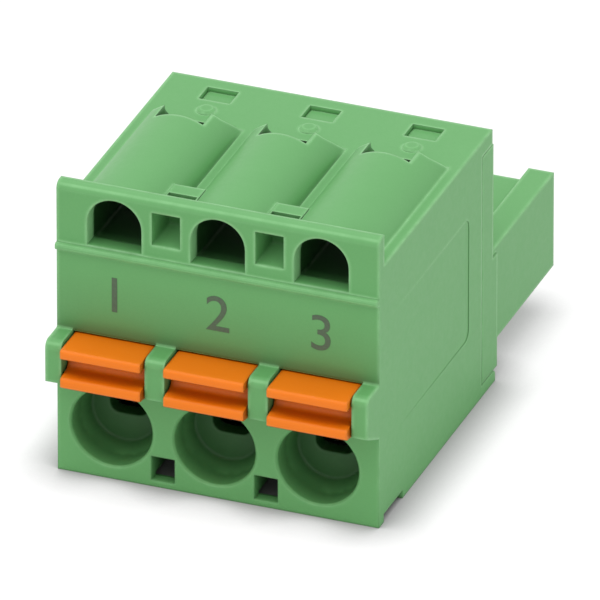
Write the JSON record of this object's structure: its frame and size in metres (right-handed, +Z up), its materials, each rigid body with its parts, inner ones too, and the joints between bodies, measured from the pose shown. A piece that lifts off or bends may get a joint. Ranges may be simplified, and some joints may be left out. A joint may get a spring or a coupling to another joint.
{
  "type": "pluggable terminal block",
  "caption": "Green wire-to-board plug with spring clamps, orange push levers, round wire entries, arched test openings under half-round roofs and a pin socket plug behind.",
  "frame": {"origin": "centre of the whole block's bounding box, at the height of its flat base", "axes": "+Z up, +Y from the wire side to the plug, +X across the poles, to the right as seen from the wire side"},
  "size_m": [0.0158, 0.025, 0.015],
  "materials": {
    "green_plastic": "fine grained polyamide",
    "carrier_plastic": "fine grained polyamide",
    "orange_plastic": "satin",
    "tinned_copper": "tin plated",
    "spring_steel": "bright stainless strip"
  },
  "bodies": {
    "block": {"front_housing": "green_plastic", "contact_carrier": "carrier_plastic", "current_bar_1": "tinned_copper", "clamp_spring_1": "spring_steel", "socket_contact_1": "tinned_copper", "contact_clip_1": "spring_steel", "current_bar_2": "tinned_copper", "clamp_spring_2": "spring_steel", "socket_contact_2": "tinned_copper", "contact_clip_2": "spring_steel", "current_bar_3": "tinned_copper", "clamp_spring_3": "spring_steel", "socket_contact_3": "tinned_copper", "contact_clip_3": "spring_steel"},
    "push_lever_1": {"lever_1": "orange_plastic"},
    "push_lever_2": {"lever_2": "orange_plastic"},
    "push_lever_3": {"lever_3": "orange_plastic"}
  },
  "joints": [
    {"name": "lever_press_1", "type": "slide", "parent": "block", "child": "push_lever_1", "axis": [0, 1, 0], "range_m": [0, 0.0013], "stiffness_N_per_m": 2000, "springref_m": -0.0002, "deforming": ["clamp_spring_1"]},
    {"name": "lever_press_2", "type": "slide", "parent": "block", "child": "push_lever_2", "axis": [0, 1, 0], "range_m": [0, 0.0013], "stiffness_N_per_m": 2000, "springref_m": -0.0002, "deforming": ["clamp_spring_2"]},
    {"name": "lever_press_3", "type": "slide", "parent": "block", "child": "push_lever_3", "axis": [0, 1, 0], "range_m": [0, 0.0013], "stiffness_N_per_m": 2000, "springref_m": -0.0002, "deforming": ["clamp_spring_3"]}
  ]
}
